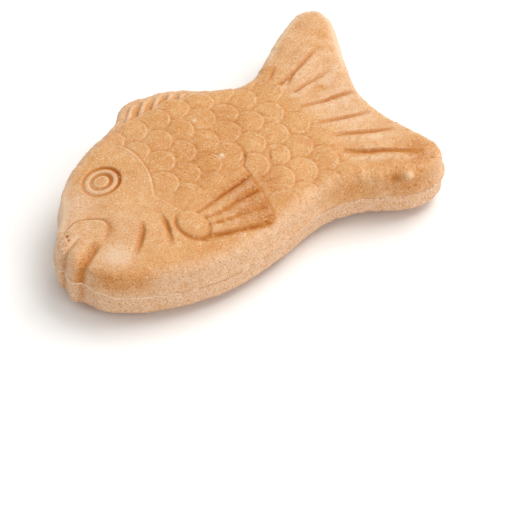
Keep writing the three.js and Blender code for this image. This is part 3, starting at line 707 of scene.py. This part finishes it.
def wallRows():
    # rings from the seam up to the shoulder's foot: V, proud lip, then a wall that leans in
    b = bodyShape
    turn = np.linspace(0, math.pi / 2, b["bevelRows"])
    profile = [(b["bevel"] * (1 - math.sin(a)), b["bevel"] * (1 - math.cos(a))) for a in turn]
    profile += [(0, (b["bevel"] + b["lipTop"]) / 2), (b["lipInset"] / 2, b["lipTop"])]
    rows = [(np.full(len(outline), i), np.full(len(outline), h)) for i, h in profile]
    foot = towardsHead(outline[:, 0], b["wall"])
    for k in range(1, b["wallRows"]):
        share = k / b["wallRows"]
        lean = b["lipInset"] + (b["draft"] - b["lipInset"]) * (1 - (1 - share) ** 2)
        rows.append((np.full(len(outline), lean), b["lipTop"] + (foot - b["lipTop"]) * share))
    return rows


def vertexNormals(points, triangles):
    a, b, c = (points[triangles[:, k]] for k in range(3))
    face = np.cross(b - a, c - a)
    total = np.zeros_like(points)
    for k in range(3):
        for axis in range(3):
            total[:, axis] += np.bincount(triangles[:, k], face[:, axis], len(points))
    return total / np.maximum(np.linalg.norm(total, axis=1), 1e-12)[:, None]


def softened(values, triangles, rounds):
    # each round moves every value half-way to the mean of its neighbours; the first ring stays
    pairs = np.concatenate([triangles[:, [0, 1]], triangles[:, [1, 2]], triangles[:, [2, 0]]])
    pairs = np.concatenate([pairs, pairs[:, ::-1]])
    count = np.bincount(pairs[:, 0], minlength=len(values))
    held = len(outline)
    for _ in range(rounds):
        mean = np.bincount(pairs[:, 0], values[pairs[:, 1]], len(values)) / count
        values = np.concatenate([values[:held], (values[held:] + mean[held:]) / 2])
    return values


print("cutting the plan")
planX, planY, planInset, planTriangles = planMesh()
topCount, loopCount = len(planX), len(outline)
wallProfile = wallRows()
wallPoints = [np.column_stack([outline + inset[:, None] * inwards, height]) for inset, height in wallProfile]
bodyTop = softened(bodyHeight(planX, planInset), planTriangles, bodyShape["softenRounds"])
bodyPoints = np.concatenate([np.stack([planX, planY, bodyTop], axis=1)] + wallPoints)
bodyInset = np.concatenate([planInset] + [np.minimum(inset, bodyShape["draft"]) for inset, _ in wallProfile])
bodyX, bodyY, bodyZ = bodyPoints.T.copy()


def closedTriangles():
    here = np.arange(loopCount)
    following = np.roll(here, -1)
    starts = [topCount + k * loopCount for k in range(len(wallPoints))] + [0]
    triangles = [planTriangles]
    for low, high in zip(starts, starts[1:]):
        triangles.append(np.stack([low + following, low + here, high + here], axis=1))
        triangles.append(np.stack([low + following, high + here, high + following], axis=1))
    foot = trianglesWithin(wallPoints[0][:, 0], wallPoints[0][:, 1])[:, ::-1]
    return np.concatenate(triangles + [starts[0] + foot])


bodyTriangles = closedTriangles()
usedPoints = np.unique(bodyTriangles)
outwards = vertexNormals(bodyPoints, bodyTriangles)
outwards[topCount:] = np.tile(np.column_stack([-inwards, 0 * inwards[:, 0]]), (len(wallPoints), 1))
print("  points", len(bodyPoints), "triangles", len(bodyTriangles))
print("pressing the relief")
skin = mouldedSkin(bodyX, bodyY, bodyZ, bodyInset)
upperSkin = copy.copy(skin)
layMarks(upperSkin)

seamShape = {"lift": 1.4, "across": (-24, -19, -4, 0), "along": (-66, -57), "fades": 9}


def seamLift(x, y):
    # the seam climbs a little where it runs round the mouth and the lower lip
    s = seamShape
    return s["lift"] * window(y, *s["across"]) * (1 - smooth(*s["along"], x))


def pointValues(mesh, name, values):
    mesh.attributes.new(name, "FLOAT", "POINT").data.foreach_set("value", values.astype(np.float32))


def waferMesh(name, turnedOver):
    b, v = bodyShape, valleyShape
    shown, plain, facing = upperSkin, 1.0, 1
    if turnedOver:
        shown, facing = skin, -1
        spread = (bodyPoints[:, :2] - planMiddle) / b["pad"]
        plain = smooth(1, b["padFade"], np.hypot(spread[:, 0], spread[:, 1]))
        plain[topCount:] = 1
    rise = shown.height * plain
    if turnedOver:
        # the fold of the mouth runs out towards the foot
        rise *= 1 - v["lowerShare"] * smooth(*v["lowerDown"], bodyZ) * (1 - smooth(*v["lowerAlong"], bodyX))
    offSeam = smooth(0, b["evenBelow"], bodyZ)
    for seed, (wavelength, height) in enumerate(b["uneven"]):
        rise += height * (lumps(bodyPoints * (1, 1, facing), wavelength, seed) - b["sink"]) * offSeam * plain
    points = bodyPoints + outwards * rise[:, None]
    points[:, 2] = np.minimum(points[:, 2], b["crown"]) * facing
    lifted = 1 - smooth(0, seamShape["fades"], np.abs(points[:, 2]))
    points[:, 2] += seamLift(points[:, 0], points[:, 1]) * lifted
    points += (*planShift, seamHeight)
    points = np.clip(points, np.array(cadBox[0]) / mm, np.array(cadBox[1]) / mm)

    toast, flour = shown.toast, shown.flour
    if turnedOver:
        wall = 1 - smooth(b["draft"], b["shoulder"][0], bodyInset)
        toast, flour = toast * (1 - wall), np.maximum(flour, wallShape["lowerFlour"] * wall)
    # colour channels: creases, partly painted shade; pale, partly painted highlight; toast, partly painted
    # shade
    bakeAndPaintedLight = np.stack([shown.crease * plain, shown.pale * plain, toast, np.ones(len(points))], axis=1)
    triangles = np.searchsorted(usedPoints, bodyTriangles)[:, ::facing]
    mesh = bpy.data.meshes.new(name)
    mesh.from_pydata((points[usedPoints] * mm).tolist(), [], triangles.tolist())
    pointValues(mesh, "flour", flour[usedPoints])
    colours = mesh.attributes.new("bakeAndPaintedLight", "FLOAT_COLOR", "POINT").data
    colours.foreach_set("color", bakeAndPaintedLight[usedPoints].astype(np.float32).ravel())
    mesh.shade_smooth()
    mesh.update()
    return mesh


def addPiece(name, mesh, material):
    piece = bpy.data.objects.new(name, mesh)
    bpy.context.scene.collection.objects.link(piece)
    mesh.materials.clear()
    mesh.materials.append(material)
    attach(piece, "root")
    print("  " + name, len(mesh.vertices), "points", len(mesh.polygons), "faces")
    return piece


def linear(hexColour):
    values = [int(hexColour[k:k + 2], 16) / 255 for k in (0, 2, 4)]
    return [v / 12.92 if v <= 0.04045 else ((v + 0.055) / 1.055) ** 2.4 for v in values] + [1]


def addNode(tree, kind, inputs=None, **settings):
    # inputs hold plain values or sockets to link from
    node = tree.nodes.new(kind)
    for name, value in settings.items():
        setattr(node, name, value)
    for socket, value in (inputs or {}).items():
        if isinstance(value, bpy.types.NodeSocket):
            tree.links.new(value, node.inputs[socket])
        else:
            node.inputs[socket].default_value = value
    return node


def workOut(tree, known, steps):
    # each step names a value and gives its operation and terms, which are known values or plain
    # numbers; a ramp's terms are a value, the range that it runs over and what the ends become
    for called, (operation, *terms) in steps.items():
        inputs = {k: known.get(term, term) for k, term in enumerate(terms)}
        if operation == "RAMP":
            node = addNode(tree, "ShaderNodeMapRange", inputs, interpolation_type="SMOOTHSTEP")
        else:
            node = addNode(tree, "ShaderNodeMath", inputs, operation=operation)
        known[called] = node.outputs[0]


waferLook = {
    "crust": "d8a167", "paler": "e2bc8b", "browner": "c48343",   # even bake, thin places, patches
    "crease": "b3670e", "deepBakeAndShade": "984800", "edge": "ead0b0", "toastedAndShaded": "b96e22", "flour": "dfbd9e",
    "pore": "8a4c14", "freckle": "a4611a", "sheenTint": "fff6ee",
    "cell": 1.5, "bump": 0.1, "bumpStrength": 0.6,               # the first two in mm
    "noises": {"patch": (15, 3, 0.5), "mottle": (3.4, 4, 0.55),  # size in mm, detail, roughness
               "grain": (0.55, 3, 0.7), "speck": (0.65, 2, 0.6)},
    "values": {
        "patches": ("RAMP", "patch", 0.42, 0.68, 0, 0.45),
        "thinPlaces": ("RAMP", "mottle", 0.5, 0.72, 0, 0.5),
        "brownPlaces": ("RAMP", "mottle", 0.48, 0.3, 0, 0.35),
        # flour, with the painted highlights and reflections in its channel, and toast, partly painted shade,
        # are mottled
        "paleMottle": ("RAMP", "mottle", 0.3, 0.62, 0.65, 1.15),
        "floury": ("MULTIPLY", "flour", "paleMottle"),
        "evenToast": ("RAMP", "mottle", 0.35, 0.6, 1, 0.6),
        "brownedAndShaded": ("MULTIPLY", "toast", "evenToast"),
        "coarse": ("RAMP", "flour", 0.55, 0.85, 0, 1),           # floury walls are grainier than the face
        "darkGrain": ("RAMP", "grain", 0.5, 0.38, 0, 0.8),
        "underFlour": ("MULTIPLY_ADD", "flour", -0.5, 1.0),
        "mealy": ("MULTIPLY_ADD", "coarse", 0.55, "underFlour"),
        "darkMeal": ("MULTIPLY", "darkGrain", "mealy"),
        "lightGrain": ("RAMP", "grain", 0.54, 0.66, 0, 0.36),
        "coarser": ("MULTIPLY_ADD", "coarse", 0.4, 1.0),
        "lightMeal": ("MULTIPLY", "lightGrain", "coarser"),
        "onWalls": ("MULTIPLY_ADD", "coarse", 0.25, 0.45),
        "onToast": ("MULTIPLY_ADD", "toast", 0.55, "onWalls"),
        "speckOnToast": ("MULTIPLY_ADD", "toast", -0.07, "speck"),
        "specks": ("RAMP", "speckOnToast", 0.42, 0.31, 0, 1),
        "freckles": ("MULTIPLY", "specks", "onToast"),
        # the two crease steps darken the grooves, partly as a browner bake and partly as painted shade; the
        # pale step after them puts the pale channel, partly pale batter and partly painted highlight, in the
        # edge colour
        "creased": ("MULTIPLY", "crease", 0.95),
        "deepestCreases": ("RAMP", "crease", 0.75, 1.15, 0, 0.95),
        "wornAndLit": ("MULTIPLY", "pale", 0.75),
        "dot": ("RAMP", "toDot", 0.38, 0.16, 0, 1),
        "fewPale": ("RAMP", "drawPale", 0.62, 0.95, 0, 0.32),
        "flecks": ("MULTIPLY", "dot", "fewPale"),
        "fewOpen": ("RAMP", "drawPore", 0.7, 0.9, 0, 1),
        "poreShare": ("MULTIPLY_ADD", "toast", 0.3, 0.06),
        "openDots": ("MULTIPLY", "dot", "fewOpen"),
        "pores": ("MULTIPLY", "openDots", "poreShare"),
        "relief": ("MULTIPLY_ADD", "pores", -0.7, "grain"),
        "roughness": ("RAMP", "mottle", 0.35, 0.65, 0.46, 0.62),
    },
    "coats": [("patches", "browner"), ("thinPlaces", "paler"), ("brownPlaces", "browner"),
              ("floury", "flour"), ("brownedAndShaded", "toastedAndShaded"), ("darkMeal", "browner"), ("lightMeal", "edge"),
              ("freckles", "freckle"), ("creased", "crease"), ("deepestCreases", "deepBakeAndShade"), ("wornAndLit", "edge"),
              ("flecks", "edge"), ("pores", "pore")],            # how much, and which colour
    "sheen": 0.05, "sheenRoughness": 0.35, "coat": 0.05, "coatRoughness": 0.3, "specular": 0.22,
}
crumbLook = dict(waferLook, crust="f3dabb", paler="f8e8d4", browner="e2b686")


def bakedWafer(name, look):
    # baked rice wafer, pressed in a hot mould: a dry, nearly matt skin with a soft floury sheen at
    # grazing angles, fine mealy grain with pale flecks and small dark pores, floury pale walls, and
    # orange-brown lines in the grooves, partly a deeper bake and partly painted shade; pale rims and
    # crests are partly painted highlight, and the pale lobe and brow edges are painted reflection
    material = bpy.data.materials.new(name)
    material.use_nodes = True
    tree = material.node_tree
    tree.nodes.clear()
    place = addNode(tree, "ShaderNodeTexCoord").outputs["Object"]
    bakeAndPaintedLight = addNode(tree, "ShaderNodeAttribute", attribute_name="bakeAndPaintedLight")
    bakeAndLightParts = addNode(tree, "ShaderNodeSeparateColor", {"Color": bakeAndPaintedLight.outputs["Color"]}).outputs
    flour = addNode(tree, "ShaderNodeAttribute", attribute_name="flour").outputs["Fac"]
    cells = addNode(tree, "ShaderNodeTexVoronoi", {"Vector": place, "Scale": 1 / (look["cell"] * mm)}).outputs
    drawn = addNode(tree, "ShaderNodeSeparateColor", {"Color": cells["Color"]}).outputs
    known = {"crease": bakeAndLightParts["Red"], "pale": bakeAndLightParts["Green"], "toast": bakeAndLightParts["Blue"], "flour": flour,
             "toDot": cells["Distance"], "drawPale": drawn["Red"], "drawPore": drawn["Green"]}
    for called, (size, detail, rough) in look["noises"].items():
        inputs = {"Vector": place, "Scale": 1 / (size * mm), "Detail": detail, "Roughness": rough}
        known[called] = addNode(tree, "ShaderNodeTexNoise", inputs).outputs["Fac"]
    workOut(tree, known, look["values"])
    colour = linear(look["crust"])
    for share, coat in look["coats"]:
        inputs = {0: known[share], 6: colour, 7: linear(look[coat])}
        colour = addNode(tree, "ShaderNodeMix", inputs, data_type="RGBA").outputs[2]
    bump = addNode(tree, "ShaderNodeBump", {"Strength": look["bumpStrength"], "Distance": look["bump"] * mm,
                   "Height": known["relief"]})
    shader = addNode(tree, "ShaderNodeBsdfPrincipled", {
        "Base Color": colour, "Roughness": known["roughness"], "Normal": bump.outputs["Normal"],
        "Sheen Weight": look["sheen"], "Sheen Roughness": look["sheenRoughness"],
        "Sheen Tint": linear(look["sheenTint"]), "Coat Weight": look["coat"],
        "Coat Roughness": look["coatRoughness"], "Specular IOR Level": look["specular"]})
    addNode(tree, "ShaderNodeOutputMaterial", {"Surface": shader.outputs["BSDF"]})
    return material


upperLook = bakedWafer("bakedRiceWafer", waferLook)
crumbSkin = bakedWafer("driedWaferCrumb", crumbLook)
print("building the wafers")
upper = addPiece("upperWafer", waferMesh("upperWafer", False), upperLook)
lower = addPiece("lowerWafer", waferMesh("lowerWafer", True), upperLook)
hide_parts("upper_wafer")
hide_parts("lower_wafer")


def nodesTree(name, sizes):
    # a geometry tree with one input for the mesh and one for each size
    tree = bpy.data.node_groups.new(name, "GeometryNodeTree")
    tree.interface.new_socket("Mesh", in_out="INPUT", socket_type="NodeSocketGeometry")
    for label, value in sizes.items():
        kind = "NodeSocketInt" if isinstance(value, int) else "NodeSocketFloat"
        tree.interface.new_socket(label, in_out="INPUT", socket_type=kind)
    tree.interface.new_socket("Mesh", in_out="OUTPUT", socket_type="NodeSocketGeometry")
    return tree, addNode(tree, "NodeGroupInput").outputs


def finishTree(tree, geometry, material):
    whole = addNode(tree, "GeometryNodeRealizeInstances", {0: geometry}).outputs[0]
    painted = addNode(tree, "GeometryNodeSetMaterial", {0: whole}).outputs[0]
    painted.node.inputs["Material"].default_value = material
    addNode(tree, "NodeGroupOutput", {0: painted})


def grown(name, base, tree, sizes, material):
    # runs the tree on the base mesh and keeps the result as a plain piece
    source = bpy.data.objects.new(name + "Source", base)
    bpy.context.scene.collection.objects.link(source)
    modifier = source.modifiers.new("grow", "NODES")
    modifier.node_group = tree
    for item in tree.interface.items_tree:
        if item.in_out == "INPUT" and item.name in sizes:
            modifier[item.identifier] = sizes[item.name]
    evaluated = source.evaluated_get(bpy.context.evaluated_depsgraph_get())
    mesh = bpy.data.meshes.new_from_object(evaluated)
    source.modifiers.clear()
    bpy.data.objects.remove(source)
    mesh.name = name
    coords = np.zeros(3 * len(mesh.vertices))
    mesh.vertices.foreach_get("co", coords)
    mesh.vertices.foreach_set("co", np.clip(coords.reshape(-1, 3), *cadBox).ravel())
    addPiece(name, mesh, material)


seamFlash = {
    "Bead radius": 0.6 * mm, "Broken size": 5.0 * mm, "Thick size": 2.2 * mm,    # radius at its thickest
    "Missing": 0.58, "Kept where shown": 0.4, "Faint radius": 0.4, "Sides": 6,
}
flashSteps = {
    "kept": ("MULTIPLY_ADD", "shows", "Kept where shown", "gaps"),
    "gone": ("LESS_THAN", "kept", "Missing"),
    "swells": ("SUBTRACT", 1.0, "Faint radius"),
    "swollen": ("MULTIPLY_ADD", "shows", "swells", "Faint radius"),
    "uneven": ("MULTIPLY", "swollen", "beads"),
    "radius": ("MULTIPLY", "uneven", "Bead radius"),
}
flashPlace = {"inset": 0.12, "faint": 0.25, "along": (-64, -44), "across": (0, 8)}


def seamLine():
    # the line that the two wafers share, with how much flash shows there
    f = flashPlace
    foldDepth = skin.height[topCount:topCount + loopCount]
    x, y = (outline + (f["inset"] - foldDepth)[:, None] * inwards).T
    mesh = bpy.data.meshes.new("seamLine")
    points = np.column_stack([x + planShift[0], y + planShift[1], seamHeight + seamLift(x, y)])
    edges = [(k, (k + 1) % loopCount) for k in range(loopCount)]
    mesh.from_pydata((points * mm).tolist(), edges, [])
    shown = (1 - smooth(*f["along"], x)) * (1 - smooth(*f["across"], y))
    pointValues(mesh, "shows", f["faint"] + (1 - f["faint"]) * shown)
    return mesh


def growFlash():
    tree, given = nodesTree("seamFlash", seamFlash)
    place = addNode(tree, "GeometryNodeInputPosition").outputs[0]
    shows = addNode(tree, "GeometryNodeInputNamedAttribute", {"Name": "shows"}, data_type="FLOAT").outputs[0]
    known = dict(given.items(), shows=shows)
    for called, size in (("gaps", "Broken size"), ("beads", "Thick size")):
        pace = addNode(tree, "ShaderNodeMath", {0: 1.0, 1: given[size]}, operation="DIVIDE").outputs[0]
        inputs = {"Vector": place, "Scale": pace, "Detail": 2.0}
        known[called] = addNode(tree, "ShaderNodeTexNoise", inputs).outputs["Fac"]
    workOut(tree, known, flashSteps)
    line = addNode(tree, "GeometryNodeDeleteGeometry", {0: given["Mesh"], 1: known["gone"]}, domain="POINT")
    curve = addNode(tree, "GeometryNodeMeshToCurve", {0: line.outputs[0]}).outputs[0]
    section = addNode(tree, "GeometryNodeCurvePrimitiveCircle", {"Resolution": given["Sides"], "Radius": 1.0})
    bead = addNode(tree, "GeometryNodeCurveToMesh", {"Curve": curve, "Profile Curve": section.outputs[0],
                   "Scale": known["radius"], "Fill Caps": True}).outputs[0]
    finishTree(tree, bead, crumbSkin)
    grown("seamFlash", seamLine(), tree, seamFlash, crumbSkin)


crumbs = {"Density": 3.0 / mm ** 2, "Least": 0.1 * mm, "Most": 0.36 * mm, "Seed": 7}
crumbPlace = {
    "everywhere": 0.02, "offSeam": (0, 4), "squat": (0.6, 0.6, 0.3), "full": (1.3, 1.0, 0.6),
    # x, y, radius and share of each spot
    "spots": [(-8.2, -19.6, 1.2, 0.9), (-3.4, -25.4, 1.6, 0.8), (-16.5, -31.6, 1.8, 0.9),
              (-37.2, -17.3, 1.2, 1.0), (-29.6, -9.8, 1.8, 0.25), (-59, -33, 1.5, 0.2), (-36, 28, 6, 0.05)],
}


def growCrumbs():
    c = crumbPlace
    share = np.full(len(bodyX), c["everywhere"])
    for cx, cy, radius, most in c["spots"]:
        share = np.maximum(share, most * bell(np.hypot(bodyX - cx, bodyY - cy), radius))
    base = upper.data.copy()
    pointValues(base, "crumb", (share * smooth(*c["offSeam"], bodyZ))[usedPoints])
    tree, given = nodesTree("waferCrumbs", crumbs)
    seed = given["Seed"]
    crumbly = addNode(tree, "GeometryNodeInputNamedAttribute", {"Name": "crumb"}, data_type="FLOAT")
    density = addNode(tree, "ShaderNodeMath", {0: crumbly.outputs[0], 1: given["Density"]},
                      operation="MULTIPLY").outputs[0]
    spread = addNode(tree, "GeometryNodeDistributePointsOnFaces", {"Mesh": given["Mesh"],
                     "Density": density, "Seed": seed}).outputs
    size = addNode(tree, "FunctionNodeRandomValue", {2: given["Least"], 3: given["Most"], "Seed": seed},
                   data_type="FLOAT").outputs[1]
    turn = addNode(tree, "FunctionNodeRandomValue", {0: c["squat"], 1: c["full"], "Seed": seed},
                   data_type="FLOAT_VECTOR").outputs[0]
    scale = addNode(tree, "ShaderNodeVectorMath", {0: turn, "Scale": size}, operation="SCALE").outputs[0]
    grain = addNode(tree, "GeometryNodeMeshIcoSphere", {"Radius": 1.0, "Subdivisions": 1}).outputs[0]
    put = addNode(tree, "GeometryNodeInstanceOnPoints", {"Points": spread["Points"], "Instance": grain,
                  "Rotation": spread["Rotation"], "Scale": scale}).outputs[0]
    finishTree(tree, put, crumbSkin)
    grown("waferCrumbs", base, tree, crumbs, crumbSkin)


print("growing the seam's flash and the crumbs")
growFlash()
growCrumbs()

studio = {
    "aim": (-20.82, -46.25, 23.75), "azimuth": -36.8, "elevation": 44,   # mm and degrees
    "frameWidth": 177.5, "distance": 900, "farthest": 20,                # mm, mm, metres
    "sky": 0.6,
    "boxes": {"key": (31.0, 1.6, 90, 55, 2.0), "fill": (9.0, 1.2, 5, 28, 2.0)},  # W, m, degrees, m
    "floor": "fbfaf8", "floorSize": 6.0, "floorDrop": 0.0001, "floorRoughness": 0.8,
}


def towards(azimuth, elevation):
    a, e = math.radians(azimuth), math.radians(elevation)
    return Vector((math.sin(a) * math.cos(e), -math.cos(a) * math.cos(e), math.sin(e)))


def aimAt(thing, spot, back, distance):
    thing.location = spot + back * distance
    thing.rotation_mode = "QUATERNION"
    thing.rotation_quaternion = (-back).to_track_quat("-Z", "Y")
    bpy.context.scene.collection.objects.link(thing)


print("setting the studio")
camera = bpy.data.objects.new("camera", bpy.data.cameras.new("camera"))
camera.data.type = "ORTHO"
camera.data.ortho_scale = studio["frameWidth"] * mm
camera.data.clip_end = studio["farthest"]
aimAt(camera, Vector(studio["aim"]) * mm, towards(studio["azimuth"], studio["elevation"]),
      studio["distance"] * mm)
bpy.context.scene.camera = camera

for name, (watts, size, azimuth, elevation, distance) in studio["boxes"].items():
    lamp = bpy.data.objects.new(name, bpy.data.lights.new(name, "AREA"))
    lamp.data.energy = watts
    lamp.data.size = size
    aimAt(lamp, Vector((0, 0, 0)), towards(azimuth, elevation), distance)

world = bpy.data.worlds.new("studioSky")
world.use_nodes = True
world.node_tree.nodes["Background"].inputs["Color"].default_value = (1, 1, 1, 1)
world.node_tree.nodes["Background"].inputs["Strength"].default_value = studio["sky"]
bpy.context.scene.world = world
bpy.context.scene.view_settings.view_transform = "Standard"

half = studio["floorSize"] / 2
floorMesh = bpy.data.meshes.new("floor")
floorMesh.from_pydata([(-half, -half, 0), (half, -half, 0), (half, half, 0), (-half, half, 0)],
                      [], [(0, 1, 2, 3)])
floor = bpy.data.objects.new("floor", floorMesh)
floor.location.z = -studio["floorDrop"]
bpy.context.scene.collection.objects.link(floor)
paper = bpy.data.materials.new("whitePaper")
paper.use_nodes = True
paper.node_tree.nodes["Principled BSDF"].inputs["Base Color"].default_value = linear(studio["floor"])
paper.node_tree.nodes["Principled BSDF"].inputs["Roughness"].default_value = studio["floorRoughness"]
floorMesh.materials.append(paper)
